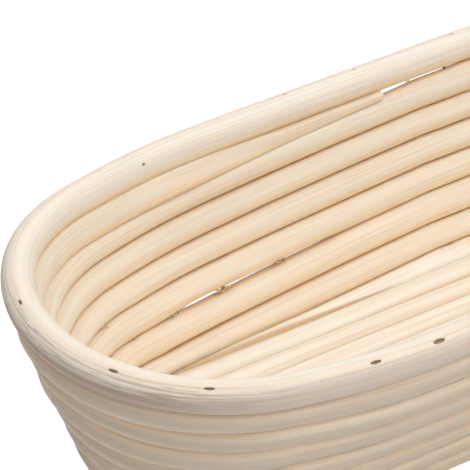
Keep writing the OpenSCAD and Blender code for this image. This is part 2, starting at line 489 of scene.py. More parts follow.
@dataclass(frozen=True)
class BasketShape:
    """Sizes of the basket and the outline that its rows follow. Places are in turns, clockwise from the -X end."""

    length: float = 320 * MM
    width: float = 140 * MM
    lean: float = math.radians(20)
    rows: int = 6
    shoulder_drop: float = 5 * MM
    shoulder_radius: float = 200 * MM
    cane_d: float = 9.1 * MM
    rim_d: float = 9.9 * MM
    row_gap: float = 0.65 * MM
    foot_depth: float = 0.9 * MM
    climb_from: float = 18 / TURN
    climb_to: float = 102 / TURN
    floor_loops: int = 4
    probe: float = 0.002
    drift: RowDrift = RowDrift()

    @property
    def pitch(self) -> float:
        """Distance from row to row up the wall."""
        return self.cane_d + self.row_gap

    @property
    def rim_rise(self) -> float:
        """Distance from the top row to the rim."""
        return (self.cane_d + self.rim_d) / 2 + self.row_gap

    @property
    def rim_slant(self) -> float:
        """Distance from the lowest row to the rim."""
        return self.rows * self.pitch + self.rim_rise

    @property
    def rim_reach(self) -> float:
        """How far outside the lowest row the rim lies."""
        return self.rim_slant * math.sin(self.lean)

    @property
    def row_z(self) -> float:
        """Height of the lowest row."""
        return self.cane_d / 2 - self.foot_depth

    @property
    def floor_half_width(self) -> float:
        """Half the width of the lowest row."""
        return (self.width - self.rim_d) / 2 - self.rim_reach

    @property
    def floor_half_length(self) -> float:
        """Half the length of the lowest row."""
        return (self.length - self.rim_d) / 2 - self.rim_reach

    def outline(self, reach: Array, turn: Array) -> Array:
        """Points of the rows' outline: straight sides, bowed shoulders and round ends.

        Args:
            reach: How far outside the lowest row the outline lies.
            turn: Places round the basket.

        Returns:
            Plan points.
        """
        quarters = 4.0 * np.mod(turn, 1.0)
        quarter = np.floor(quarters).astype(int)
        rest = quarters - quarter
        share = np.where(quarter % 2 == 0, 1.0 - rest, rest)
        half_width = self.floor_half_width + reach
        half_length = self.floor_half_length + reach
        tip = half_width - self.shoulder_drop * reach / self.rim_reach
        bow = self.shoulder_radius
        bend = np.arccos(np.clip((bow - half_width) / (bow - tip), -1.0, 1.0))
        straight = half_length - tip - (bow - tip) * np.sin(bend)
        bow_end = straight + bow * bend
        along = share * (bow_end + tip * (math.pi / 2 - bend))
        on_bow = (along - straight) / bow
        on_tip = bend + (along - bow_end) / tip
        parts = [along < straight, along < bow_end]
        bow_x, bow_y = straight + bow * np.sin(on_bow), half_width - bow * (1 - np.cos(on_bow))
        x = np.select(parts, [along, bow_x], half_length - tip * (1 - np.sin(on_tip)))
        y = np.select(parts, [half_width + 0 * along, bow_y], tip * np.cos(on_tip))
        side_x = np.where((quarter == 0) | (quarter == 3), -1.0, 1.0)
        side_y = np.where(quarter < 2, 1.0, -1.0)
        return np.stack([side_x * x, side_y * y], axis=-1)

    def wall(self, slant: Array, turn: Array) -> tuple[Array, Array, Array]:
        """Points of the leaning wall.

        Args:
            slant: Distances up the wall from the lowest row.
            turn: Places round the basket.

        Returns:
            The points, the directions up the wall and the directions square out of it.
        """
        sine, cosine = math.sin(self.lean), math.cos(self.lean)
        reach = np.maximum(0.0, slant) * sine
        plan = self.outline(reach, turn)
        ahead = unit(self.outline(reach, turn + self.probe) - self.outline(reach, turn - self.probe))
        flat = np.stack([-ahead[:, 1], ahead[:, 0], 0 * turn], axis=-1)
        rise = np.array([0.0, 0.0, 1.0])
        centre = np.column_stack([plan, self.row_z + slant * cosine])
        return centre, flat * sine + rise * cosine, flat * cosine - rise * sine

    def climb(self, turn: Array) -> Array:
        """Share of a row's pitch that the rows have climbed at each place."""
        return np.clip((np.mod(turn, 1.0) - self.climb_from) / (self.climb_to - self.climb_from), 0.0, 1.0)


class CaneGrower:
    """The geometry tree that lays a grid of rings by sides over a cane's stations, shared by all canes."""

    STATION = {
        "up": "FLOAT_VECTOR", "out": "FLOAT_VECTOR", "high": "FLOAT", "wide": "FLOAT", "slant": "FLOAT",
        "square": "FLOAT", "shade": "FLOAT", "rough": "FLOAT", "along": "FLOAT",
    }
    SHARP_ANGLE = 0.7
    MERGE_WITHIN = 1e-7
    LOWEST = (-10.0, -10.0, 0.0)
    MAP_LENGTH, MAP_WIDTH = 0.99, 0.94

    def __init__(self) -> None:
        """Builds the tree."""
        group = Group("cane_along_path", TreeKind.GEOMETRY)
        path, sides, strips, material = group.takes(
            Geometry="Geometry", Sides="Int", Strips="Int", Material="Material"
        )
        rings = group.add("GeometryNodeAttributeDomainSize", {"component": "MESH"}, {"Geometry": path})
        count = rings.outputs["Point Count"]
        columns = group.math("ADD", sides, 1.0)
        grid = group.add("GeometryNodeMeshGrid", None, {"Vertices X": count, "Vertices Y": columns})
        index = group.add("GeometryNodeInputIndex").outputs["Index"]
        ring = group.math("FLOOR", group.math("DIVIDE", group.math("ADD", index, 0.5), columns))
        side = group.math("SUBTRACT", index, group.times(ring, columns))
        kept = group.store(grid.outputs["Mesh"], "ring", ring)
        kept = group.store(kept, "turn", group.math("DIVIDE", side, sides))
        ring, turn = group.attribute("ring"), group.attribute("turn")
        kept, spots = self.sweep(group, kept, path, ring, turn)
        kept = group.store(kept, "OFBake", self.unwrap(group, ring, turn, count, strips), "FLOAT2", "CORNER")
        laid = group.change("GeometryNodeSetPosition", kept, {"Position": spots})
        closed = group.change("GeometryNodeMergeByDistance", laid, {"Distance": self.MERGE_WITHIN})
        edge = group.add("GeometryNodeInputMeshEdgeAngle").outputs["Unsigned Angle"]
        sharp = group.math("GREATER_THAN", edge, self.SHARP_ANGLE)
        closed = group.store(closed, "sharp_edge", sharp, "BOOLEAN", "EDGE")
        self.tree = group.close(group.change("GeometryNodeSetShadeSmooth", closed), material)

    def sweep(self, group: Group, grid: Socket, path: Socket, ring: Socket, turn: Socket) -> tuple[Socket, Socket]:
        """Works out where the grid's points lie, and stores what the finishes read.

        Args:
            group: The group.
            grid: The grid.
            path: The stations.
            ring: Each point's station.
            turn: Each point's place round the section, in turns from the top.

        Returns:
            The grid with its attributes, and the points' places.
        """
        angle = group.times(turn, math.tau)
        rise, reach = group.math("COSINE", angle), group.math("SINE", angle)
        at = group.read(path, ring, self.STATION)
        largest = group.math("MAXIMUM", group.math("ABSOLUTE", rise), group.math("ABSOLUTE", reach))
        corner = group.math("DIVIDE", 0.5, group.math("POWER", largest, at["square"]))
        centre = group.sample(path, group.position(), ring, "FLOAT_VECTOR")
        half_high = group.times(at["high"], rise, corner)
        half_wide = group.times(at["wide"], reach, corner)
        run = group.vector("CROSS_PRODUCT", at["up"], at["out"])
        arms = group.vector("ADD", group.scaled(at["up"], half_high), group.scaled(at["out"], half_wide))
        shear = group.scaled(run, group.times(half_wide, at["slant"]))
        swept = group.vector("ADD", group.vector("ADD", centre, arms), shear)
        radius = group.times(group.math("ADD", at["high"], at["wide"]), 0.25)
        grain = group.xyz(at["along"], group.times(radius, rise), group.times(radius, reach))
        kept = group.store(grid, "grain", grain, "FLOAT_VECTOR")
        kept = group.store(kept, "side", group.xyz(rise, reach, at["shade"]), "FLOAT_VECTOR")
        kept = group.store(kept, "split", at["rough"])
        return kept, group.vector("MAXIMUM", swept, self.LOWEST)

    def unwrap(self, group: Group, ring: Socket, turn: Socket, count: Socket, strips: Socket) -> Socket:
        """Lays the cane's surface out flat in strips, in a map of its own.

        Args:
            group: The group.
            ring: Each point's station.
            turn: Each point's place round the section.
            count: The number of stations.
            strips: The number of strips.

        Returns:
            The places on the map.
        """
        face_ring = group.add(
            "GeometryNodeFieldOnDomain", {"data_type": "FLOAT", "domain": "FACE"}, {"Value": ring}
        ).outputs["Value"]
        strip_rings = group.math("CEIL", group.math("DIVIDE", count, strips))
        strip = group.math("FLOOR", group.math("DIVIDE", face_ring, strip_rings))
        along = group.math("SUBTRACT", group.math("DIVIDE", ring, strip_rings), strip)
        along = group.math("MULTIPLY_ADD", along, self.MAP_LENGTH, (1 - self.MAP_LENGTH) / 2)
        across = group.math("MULTIPLY_ADD", turn, self.MAP_WIDTH, (1 - self.MAP_WIDTH) / 2)
        return group.xyz(along, group.math("DIVIDE", group.math("ADD", strip, across), strips))

    def cane(
        self, name: str, path: CanePath, sides: int, material: Material, extra: tuple[tuple[Tree, dict], ...] = ()
    ) -> Object:
        """Grows one cane.

        Args:
            name: The piece's name.
            path: Its stations.
            sides: Sides of its section.
            material: Its finish.
            extra: Further trees with their inputs.

        Returns:
            The piece.
        """
        girth = math.pi * float(path.high.max())
        strips = max(1, round(math.sqrt(distances(path.centre)[-1] / girth)))
        values = {"Sides": sides, "Strips": strips, "Material": material}
        return grow(name, path.points(name), [(self.tree, values), *extra])


class PitPress:
    """The geometry tree that presses nail pits into a cane: a long hole with a split along the grain."""

    MARK = {"run": "FLOAT_VECTOR", "face": "FLOAT_VECTOR", "size": "FLOAT"}
    STRETCH = 0.3
    HOLE_WALL = 0.55
    SPLIT_DEPTH = 0.4
    LEAST_WIDTH = 1e-6
    REACH_BELOW = -1.5 * MM

    def __init__(self) -> None:
        """Builds the tree, which moves the surface in near the closest pit."""
        group = Group("nail_pits", TreeKind.GEOMETRY)
        cane, pits, depth, hole, split, split_width, material = group.takes(
            Geometry="Geometry", Pits="Object", Depth="Float", Hole="Float", Split="Float", Width="Float",
            Material="Material",
        )
        marks = group.add("GeometryNodeObjectInfo", None, {"Object": pits}).outputs["Geometry"]
        position = group.position()
        nearest = group.add(
            "GeometryNodeSampleNearest", {"domain": "POINT"}, {"Geometry": marks, "Sample Position": position}
        ).outputs["Index"]
        mark = group.read(marks, nearest, self.MARK)
        away = group.vector("SUBTRACT", position, group.sample(marks, position, nearest, "FLOAT_VECTOR"))
        crosswise = group.vector("CROSS_PRODUCT", mark["face"], mark["run"])
        along = group.math("ABSOLUTE", group.vector("DOT_PRODUCT", away, mark["run"]))
        across = group.math("ABSOLUTE", group.vector("DOT_PRODUCT", away, crosswise))
        below = group.vector("DOT_PRODUCT", away, mark["face"])
        squares = [group.math("POWER", part, 2.0) for part in (group.times(along, self.STRETCH), across)]
        distance = group.math("SQRT", group.math("ADD", *squares))
        inside = group.rest(group.math("DIVIDE", distance, group.times(hole, mark["size"])))
        round_part = group.smooth(inside, 0.0, self.HOLE_WALL)
        taper = group.rest(group.math("DIVIDE", along, group.times(split, mark["size"])))
        taper = group.math("MAXIMUM", taper, 0.0)
        thin = group.math("MAXIMUM", group.times(split_width, taper), self.LEAST_WIDTH)
        long_part = group.math("MAXIMUM", group.rest(group.math("DIVIDE", across, thin)), 0.0)
        long_part = group.times(long_part, group.math("SQRT", taper), self.SPLIT_DEPTH)
        near = group.math("GREATER_THAN", below, self.REACH_BELOW)
        pressed = group.times(group.math("MAXIMUM", round_part, long_part), near)
        inwards = group.scaled(mark["face"], group.times(pressed, depth, -1.0))
        kept = group.store(cane, "pit", pressed)
        self.tree = group.close(group.change("GeometryNodeSetPosition", kept, {"Offset": inwards}), material)


class NailGrower:
    """The geometry tree that sets one shape at every point, along the point's own direction."""

    def __init__(self) -> None:
        """Builds the tree."""
        group = Group("set_along_points", TreeKind.GEOMETRY)
        points, shape, seed, material = group.takes(
            Geometry="Geometry", Shape="Object", Seed="Int", Material="Material"
        )
        made = group.add("GeometryNodeObjectInfo", None, {"Object": shape}).outputs["Geometry"]
        aim = group.add(
            "FunctionNodeAlignRotationToVector", {"axis": "Z"}, {"Vector": group.attribute("aim", "FLOAT_VECTOR")}
        ).outputs["Rotation"]
        spin = group.add(
            "FunctionNodeRandomValue", {"data_type": "FLOAT"}, {"Max": math.tau, "Seed": seed}
        ).outputs["Value"]
        twist = group.add("FunctionNodeAxisAngleToRotation", None, {"Axis": (0.0, 0.0, 1.0), "Angle": spin})
        turned = group.add(
            "FunctionNodeRotateRotation", {"rotation_space": "LOCAL"},
            {"Rotation": aim, "Rotate By": twist.outputs["Rotation"]},
        )
        placed = group.add("GeometryNodeInstanceOnPoints", None, {
            "Points": points, "Instance": made, "Rotation": turned.outputs["Rotation"],
            "Scale": group.attribute("stretch", "FLOAT_VECTOR"),
        })
        self.tree = group.close(placed.outputs["Instances"], material)

    def lay(
        self, name: str, shape: Object, points: Array, aim: Array, stretch: Array, material: Material, seed: int
    ) -> Object:
        """Sets copies of a shape on points.

        Args:
            name: The piece's name.
            shape: The shape, which points along +Z.
            points: Where the copies start.
            aim: The direction of each copy.
            stretch: The scale of each copy.
            material: Their finish.
            seed: Seed of their spin.

        Returns:
            The piece.
        """
        marks = points_object(name, points, {"aim": aim, "stretch": stretch})
        return grow(name, marks, [(self.tree, {"Shape": shape, "Seed": seed, "Material": material})])


def turned_shape(name: str, profile: list[tuple[float, float]], sides: int) -> Object:
    """Makes a closed turned shape about the Z axis, for copies.

    Args:
        name: The shape's name.
        profile: Radius and height of each ring, from the start to the tip.
        sides: Sides of a ring.

    Returns:
        The object, which isn't in the scene.
    """
    angles = [math.tau * side / sides for side in range(sides)]
    points = [
        (radius * math.cos(angle), radius * math.sin(angle), height)
        for radius, height in profile for angle in angles
    ]
    last = (len(profile) - 1) * sides
    faces = []
    for first in range(0, last, sides):
        for side in range(sides):
            a, b = first + side, first + (side + 1) % sides
            faces.append((a, b, b + sides, a + sides))
    faces += [tuple(range(sides))[::-1], tuple(range(last, last + sides))]
    mesh = bpy.data.meshes.new(name)
    mesh.from_pydata(points, [], faces)
    return bpy.data.objects.new(name, mesh)


class FibreGroup:
    """The shader node group that draws the fibres of peeled cane and the masks of its painted light and shade,
    shared by all cane finishes.
    """

    NOISES = {
        "fine": (20.0, 1900.0, 3.1, 2.0), "band": (9.0, 620.0, 17.3, 3.0), "hue": (10.0, 900.0, 57.1, 2.0),
        "broad": (7.0, 85.0, 41.7, 2.0), "line": (90.0, 2600.0, 71.9, 1.0), "where": (17.0, 150.0, 90.2, 2.0),
    }

    def __init__(self) -> None:
        """Builds the group."""
        group = Group("cane_fibres", TreeKind.SHADER)
        grain, side, rough, shift = group.takes(Grain="Vector", Side="Vector", Rough="Float", Shift="Float")
        grain = group.vector("ADD", grain, group.xyz(shift))
        drawn = {name: self.noise(group, grain, *values) for name, values in self.NOISES.items()}
        separate = group.add("ShaderNodeSeparateXYZ", None, {"Vector": side})
        parts = dict(zip(("rise", "reach", "shade"), separate.outputs))
        outer = group.smooth(parts["reach"], 0.0, 0.65)
        split = self.splits(group, drawn, parts, rough)
        height = group.math("ADD", group.times(drawn["fine"], 0.4), group.times(drawn["band"], 0.4))
        height = group.math("ADD", height, group.times(drawn["hue"], 0.4))
        height = group.math("SUBTRACT", height, group.times(split, 0.7))
        masks = {
            **self.streaks(group, drawn, outer), **self.faces(group, parts, outer, rough),
            "Split": split, "Height": height,
        }
        for name, mask in masks.items():
            group.give(name, "Float", mask)
        self.tree = group.tree

    @staticmethod
    def noise(group: Group, grain: Socket, along: float, across: float, shift: float, detail: float) -> Socket:
        """Adds noise that is drawn out along the cane.

        Args:
            group: The group.
            grain: Distance along the cane and place in its section.
            along: Scale along the cane.
            across: Scale across the cane.
            shift: Offset, so that each use differs.
            detail: Octaves of the noise.

        Returns:
            The noise's socket.
        """
        scaled = group.vector("MULTIPLY", grain, (along, across, across))
        drawn = group.vector("ADD", scaled, (shift, shift, shift))
        node = group.add("ShaderNodeTexNoise", None, {"Vector": drawn, "Scale": 1.0, "Detail": detail})
        return node.outputs["Fac"]

    @staticmethod
    def splits(group: Group, drawn: dict[str, Socket], parts: dict[str, Socket], rough: Socket) -> Socket:
        """A mask of the splits and loose hairs on rough outer sides.

        Args:
            group: The group.
            drawn: The noises by name.
            parts: Rise, reach and shade in the section.
            rough: The roughness.

        Returns:
            The mask's socket.
        """
        flank = group.times(group.smooth(parts["reach"], 0.05, 0.45), rough)
        shoulder = group.times(flank, group.smooth(parts["rise"], -0.2, 0.5))
        where = group.math("ADD", drawn["where"], group.times(rough, 0.3))
        split = group.times(group.smooth(drawn["line"], 0.59, 0.64), group.smooth(where, 0.5, 0.8), shoulder)
        hairs = group.times(group.smooth(drawn["fine"], 0.5, 0.66), 0.5, group.math("POWER", flank, 0.6))
        return group.math("MAXIMUM", split, hairs)

    @staticmethod
    def streaks(group: Group, drawn: dict[str, Socket], outer: Socket) -> dict[str, Socket]:
        """Masks of the streaks along the grain.

        Args:
            group: The group.
            drawn: The noises by name.
            outer: A mask of the outer side.

        Returns:
            The masks by name.
        """
        share = group.math("MULTIPLY_ADD", outer, 0.5, 0.5)
        return {
            "Fine": group.smooth(drawn["fine"], 0.5, 0.7), "Band": group.smooth(drawn["band"], 0.3, 0.7),
            "Rose": group.times(group.smooth(drawn["hue"], 0.54, 0.68), share),
            "Grey": group.times(group.smooth(drawn["hue"], 0.46, 0.32), share),
            "Broad": group.smooth(drawn["broad"], 0.3, 0.7),
        }

    @staticmethod
    def faces(group: Group, parts: dict[str, Socket], outer: Socket, rough: Socket) -> dict[str, Socket]:
        """Masks of the section's sides: painted shade in the creases and on the outer side, painted light on the
        lower inner side, in the outer grooves, on the lit top at rough places and on the upper face of the wall's
        start, and the tan below that face.

        Args:
            group: The group.
            parts: Rise, reach and shade in the section.
            outer: A mask of the outer side.
            rough: The roughness.

        Returns:
            The masks by name.
        """
        rise, shade = parts["rise"], parts["shade"]
        steep = group.math("ABSOLUTE", rise)
        inner = group.math("MULTIPLY_ADD", outer, -0.8, 1.0)
        shaved = group.smooth(group.math("SUBTRACT", shade, rise), 0.0, 0.3)
        # Painted light: at rough places the painted outer shade gives way on the lit top of the section.
        lit_top = group.smooth(group.math("MULTIPLY_ADD", rough, 0.6, rise), 0.85, 1.35)
        # Painted shade on the outer side of each cane, at half strength on smooth cane and full strength where
        # rough.
        outer_shade_strength = group.math("MULTIPLY_ADD", group.math("POWER", rough, 3.0), 0.5, 0.5)
        outer_shade = group.times(group.rest(group.times(lit_top, rough)), outer_shade_strength)
        return {
            # Painted shade in the creases where canes touch, strongest on the inner side.
            "ContactShade": group.times(group.smooth(steep, 0.84, 0.99), inner),
            # Painted warm bounce light on the lower inner side of each cane.
            "LowerLight": group.times(group.smooth(group.times(rise, -1.0), 0.0, 0.95), inner),
            # Above the tan lower part of the wall's start, a painted highlight on its upper face.
            "Shaved": shaved, "FacetLight": group.times(group.smooth(shade, -1.9, -1.0), group.rest(shaved)),
            # Painted light that lifts the shade in the grooves on the outer side.
            "GrooveLight": group.times(group.smooth(steep, 0.3, 0.95), outer), "OuterShade": group.times(outer, outer_shade),
        }


@dataclass(frozen=True)
class CaneFinish:
    """Bare peeled cane: cream with warm, rosy and grey streaks, fine fibres, a few dark splits, painted shade in the
    creases and on the outer side, and painted light on the lower inner side, in the outer grooves and on the upper
    face of the wall's start.
    """

    name: str
    light: Triple
    warm: Triple
    blush: Triple
    # Colour of the painted shade on the outer side.
    outer_shade: Triple
    # Colour of the painted warm bounce light on the lower inner side.
    edge: Triple = (0.93, 0.67, 0.36)
    rose: Triple = (0.78, 0.57, 0.47)
    grey: Triple = (0.70, 0.67, 0.57)
    fibre: Triple = (0.66, 0.46, 0.27)
    # Colour of the painted shade in the creases where canes touch.
    crease_shade: Triple = (0.74, 0.45, 0.20)
    shaved: Triple = (0.66, 0.46, 0.27)
    # Colour of the painted highlight on the upper face of the wall's start.
    facet_light: Triple = (0.95, 0.90, 0.82)
    # Colour of the painted light in the grooves on the outer side.
    groove_light: Triple = (0.97, 0.82, 0.66)
    dark: Triple = (0.34, 0.21, 0.13)
    pit: Triple = (0.24, 0.14, 0.08)
    pit_floor: Triple = (0.72, 0.52, 0.34)
    blush_share: float = 0.6
    lower_light_share: float = 0.6
    streak_share: float = 0.5
    fine_share: float = 0.25
    crease_shade_share: float = 0.5
    split_share: float = 0.15
    outer_shade_share: float = 0.6
    groove_light_share: float = 0.75
    facet_light_share: float = 0.85
    shaved_share: float = 0.9
    pit_floor_share: float = 0.3
    shift: float = 0.0
    relief: float = 0.00014
    relief_share: float = 0.8
    gloss: float = 0.35
    glow_share: float = 0.4
    glow_depth: float = 1.6 * MM
    glow_tint: Triple = (1.0, 0.6, 0.3)

    def material(self, fibres: FibreGroup) -> Material:
        """Makes the material.

        Args:
            fibres: The shared fibre group.

        Returns:
            The material.
        """
        paint = Paint(self.name)
        drawn = paint.add("ShaderNodeGroup", {"node_tree": fibres.tree}, {
            "Grain": paint.attribute("grain", "Vector"), "Side": paint.attribute("side", "Vector"),
            "Rough": paint.attribute("split", "Fac"), "Shift": self.shift,
        }).outputs
        hole = paint.attribute("pit", "Fac")
        colour = paint.blend(drawn["Band"], (*self.light, 1.0), (*self.warm, 1.0))
        layers = [(drawn[name], share, tint) for name, share, tint in (
            ("Broad", self.blush_share, self.blush), ("OuterShade", self.outer_shade_share, self.outer_shade),
            ("GrooveLight", self.groove_light_share, self.groove_light), ("Rose", self.streak_share, self.rose),
            ("Grey", self.streak_share, self.grey), ("LowerLight", self.lower_light_share, self.edge),
            ("FacetLight", self.facet_light_share, self.facet_light), ("Shaved", self.shaved_share, self.shaved),
            ("Fine", self.fine_share, self.fibre), ("ContactShade", self.crease_shade_share, self.crease_shade),
            ("Split", self.split_share, self.dark),
        )]
        layers.append((paint.smooth(hole, 0.1, 0.5), 1.0, self.pit))
        layers.append((paint.smooth(hole, 0.7, 1.0), self.pit_floor_share, self.pit_floor))
        for mask, share, tint in layers:
            colour = paint.blend(paint.times(mask, share), colour, (*tint, 1.0))
        return paint.done({
            "Base Color": colour, "Roughness": paint.math("MULTIPLY_ADD", drawn["Band"], 0.16, 0.52),
            "Specular IOR Level": self.gloss, "Subsurface Weight": self.glow_share,
            "Subsurface Scale": self.glow_depth, "Subsurface Radius": self.glow_tint,
            "Normal": paint.bump(drawn["Height"], self.relief, self.relief_share),
        })


@dataclass(frozen=True)
class NailFinish:
    """Dull wire nails with brown tarnish."""

    name: str = "nail_wire"
    steel: Triple = (0.30, 0.27, 0.24)
    tarnish: Triple = (0.17, 0.09, 0.05)
    scale: float = 900.0
    relief: float = 0.05 * MM

    def material(self) -> Material:
        """Makes the material.

        Returns:
            The material.
        """
        paint = Paint(self.name)
        blotch = paint.blotches(self.scale, 3.0)
        mask = paint.smooth(blotch, 0.38, 0.6)
        return paint.done({
            "Base Color": paint.blend(mask, (*self.steel, 1.0), (*self.tarnish, 1.0)),
            "Roughness": paint.math("MULTIPLY_ADD", mask, 0.3, 0.4),
            "Metallic": paint.math("MULTIPLY_ADD", mask, -0.7, 0.9),
            "Normal": paint.bump(blotch, self.relief, 0.6),
        })


@dataclass(frozen=True)
class SplinterFinish:
    """Torn cane fibre, tan with brown spots."""

    name: str = "cane_torn_fibre"
    pale: Triple = (0.74, 0.56, 0.34)
    brown: Triple = (0.36, 0.21, 0.10)
    scale: float = 1400.0
    roughness: float = 0.7

    def material(self) -> Material:
        """Makes the material.

        Returns:
            The material.
        """
        paint = Paint(self.name)
        mask = paint.smooth(paint.blotches(self.scale, 2.0), 0.4, 0.6)
        colour = paint.blend(mask, (*self.pale, 1.0), (*self.brown, 1.0))
        return paint.done({"Base Color": colour, "Roughness": self.roughness})


@dataclass
class WallCoil:
    """The wall: one cane wound in rows, shaved at both ends."""

    shape: BasketShape
    row_high: float = 9.68 * MM
    row_wide: float = 9.6 * MM
    start: float = 20 / TURN
    end: float = 94.5 / TURN
    start_high: float = 0.8 * MM
    rim_drop: float = 0.28 * MM
    station: float = 3.0 * MM
    girth: float = 700 * MM
    sides: int = 36
    slit_loop: int = 2
    slit: float = 1.25 * MM
    slim: float = 0.05 * MM
    sway: float = 0.25 * MM
    tuck: float = 0.8 * MM
    seat_slack: float = 0.02 * MM
    seat_tries: int = 30
    tail_square: float = 0.55
    rough: float = 0.2
    end_sway: tuple[float, ...] = (0.0, 0.2 * MM, 0.3 * MM, 0.4 * MM, 1.0 * MM, 0.2 * MM, 1.0 * MM)
    start_press: Curve = Curve((20, 50, 75), (1.4, 1.1, 0.0), MM)
    start_wide: Curve = Curve((20, 60, 102), (4.0, 7.0, 9.6), MM)
    # Rise in the section of the wall's start below which it is tan, with a painted highlight above.
    start_face: Curve = Curve((40, 64, 74, 83, 93, 103, 125), (0.9, 0.78, 0.6, 0.4, 0.05, -1.1, UNSHAVED))
    tail_high: Curve = Curve((14, 38, 57, 75, 83, 91, 97), (9.68, 9.3, 8.75, 6.05, 4.8, 3.25, 2.85), MM)
    tail_wide: Curve = Curve((8, 30, 57, 97), (9.6, 5.5, 3.2, 2.6), MM)
    tail_crease: Curve = Curve((30, 55, 80, 92), (0.0, 1.0, 0.9, 0.2), 0.6 * MM)
    tail_tilt: Curve = Curve((40, 55, 64, 76), (0.0, 0.3, 0.2, -0.3))
    rim_gap: Curve = Curve(
        (88, 95, 98, 101, 104, 107.5, 110, 113), (0.0, 0.65, 0.8, 0.72, 0.62, 0.55, 0.35, 0.0), MM
    )

    def seat(self, high: Array, wide: Array, rise: Array) -> Array:
        """How far inwards the shaved end lies, so that it touches the rim above and the row below.

        Args:
            high: Heights of its section.
            wide: Widths of its section.
            rise: Share of the pitch that the row below has climbed.

        Returns:
            Distances inwards.
        """
        across = np.linspace(-0.99, 0.99, 61)
        room = (self.shape.rim_rise - self.rim_drop + self.shape.pitch * (1 - rise)) / 2
        radius = (self.shape.rim_d + self.row_high) / 4
        need = np.outer(high / 2, np.sqrt(1 - across * across))
        low, top = 0 * high, 0 * high + self.row_wide
        for _ in range(self.seat_tries):
            middle = (low + top) / 2
            spot = np.outer(wide / 2, across) - middle[:, None]
            free = room[:, None] - np.sqrt(np.maximum(0.0, radius * radius - spot * spot))
            fits = np.all(need <= free + self.seat_slack, axis=1)
            low, top = np.where(fits, low, middle), np.where(fits, middle, top)
        return top

    def sizes(self, turn: Array) -> tuple[Array, Array, Array, Array]:
        """Section and place of the cane.

        Args:
            turn: Turns along the cane, from 0 at the -X end of the lowest row.

        Returns:
            Height, width, distance up the wall and distance moved inwards.
        """
        shape, pitch = self.shape, self.shape.pitch
        loop, rise = np.floor(turn), shape.climb(turn)
        degrees = np.mod(turn, 1.0) * TURN
        ends = [loop == 0, loop > shape.rows]
        under = shape.drift.lift(loop, degrees)
        over = shape.drift.lift(np.minimum(loop, shape.rows) + 1, degrees)
        press = self.start_press.at(degrees)
        wedge = np.maximum(self.start_high, self.row_high - pitch * (1 - rise)) + press
        crease = np.where(ends[1], self.tail_crease.at(degrees), 0.0)
        high = np.select(ends, [wedge, self.tail_high.at(degrees)], self.row_high) + over - under - crease
        wide = np.select(ends, [self.start_wide.at(degrees), self.tail_wide.at(degrees)], self.row_wide)
        lift = np.select(ends, [(press - pitch * (1 - rise)) / 2, pitch * rise / 2], 0.0)
        lift += (over + under - crease) / 2
        flush = (self.row_wide - wide) / 2
        seat = self.seat(high + crease, wide, rise) - self.tuck * step(degrees, 55.0, 76.0)
        inset = np.select(ends, [flush, np.maximum(flush, seat)], 0.0)
        return high, wide, self.level(turn) * pitch + lift, inset

    def level(self, turn: Array) -> Array:
        """Number of the row at each place, with the climb."""
        return np.clip(np.floor(turn) - 1 + self.shape.climb(turn), 0, self.shape.rows)

    def row(self, turn: Array) -> tuple[Array, Array, Array]:
        """Middle of the cane and its directions up the wall and out of it.

        Args:
            turn: Turns along the cane.

        Returns:
            The points and the two directions.
        """
        _, _, slant, inset = self.sizes(turn)
        centre, up, out = self.shape.wall(slant, turn)
        return centre - out * inset[:, None], up, out

    def gaps(self, loop: Array, degrees: Array) -> tuple[Array, Array]:
        """How much thinner the cane is at its upper and lower side, at the slit and under the rim.

        Args:
            loop: Whole turns along the cane.
            degrees: Places round the basket.

        Returns:
            The upper and the lower gaps.
        """
        narrowed = 1.0 - 0.3 * step(degrees, 54.0, 66.0)
        opening = step(degrees, 45.0, 50.0) * narrowed * (1.0 - step(degrees, 77.0, 84.0))
        upper = np.where(loop == self.slit_loop, opening, 0.0) * self.slit / 2
        upper += np.where(loop == self.shape.rows, self.rim_gap.at(degrees), 0.0)
        return upper, np.where(loop == self.slit_loop + 1, opening, 0.0) * self.slit / 2

    def path(self) -> CanePath:
        """Follows the whole cane, with its slight natural sway and the slit between two rows.

        Returns:
            The stations.
        """
        first, last = self.start, self.shape.rows + 1 + self.end
        turn = np.linspace(first, last, int((last - first) * self.girth / self.station))
        high, wide, _, _ = self.sizes(turn)
        centre, up, out = self.row(turn)
        along = turn * self.girth
        loop, degrees = np.floor(turn), np.mod(turn, 1.0) * TURN
        at_tail = loop > self.shape.rows
        upper, lower = self.gaps(loop, degrees)
        whole = np.where(at_tail, 1.0 - step(degrees, 10.0, 40.0), np.minimum(loop, 1.0))
        high = high - self.slim * (1 + smooth_noise(along, 0.11, 5)) * whole - upper - lower
        sway = (smooth_noise(along, 0.12, 11) + 0.5 * smooth_noise(along, 0.05, 12)) * self.sway * whole
        at_end = 1.0 - step(np.minimum(degrees, TURN - degrees), 8.0, 40.0)
        sway += np.interp(self.level(turn), np.arange(self.shape.rows + 1), self.end_sway) * at_end * whole
        centre = centre + up * ((lower - upper) / 2)[:, None] + out * sway[:, None]
        square = self.tail_square * np.where(at_tail, step(degrees, 40.0, 70.0), 0.0)
        tilt = np.where(at_tail, self.tail_tilt.at(degrees), 0.0)[:, None]
        up, out = up * np.cos(tilt) + out * np.sin(tilt), out * np.cos(tilt) - up * np.sin(tilt)
        shade = np.where(loop == 0, self.start_face.at(degrees), UNSHAVED)
        return CanePath(centre, up, out, high, wide, 0 * turn, square, shade, 0 * turn + self.rough)

    def build(self, grower: CaneGrower, material: Material) -> None:
        """Builds the piece."""
        place(grower.cane("wall_cane_coil", self.path(), self.sides, material), Slot.WALL, "wall_coil")


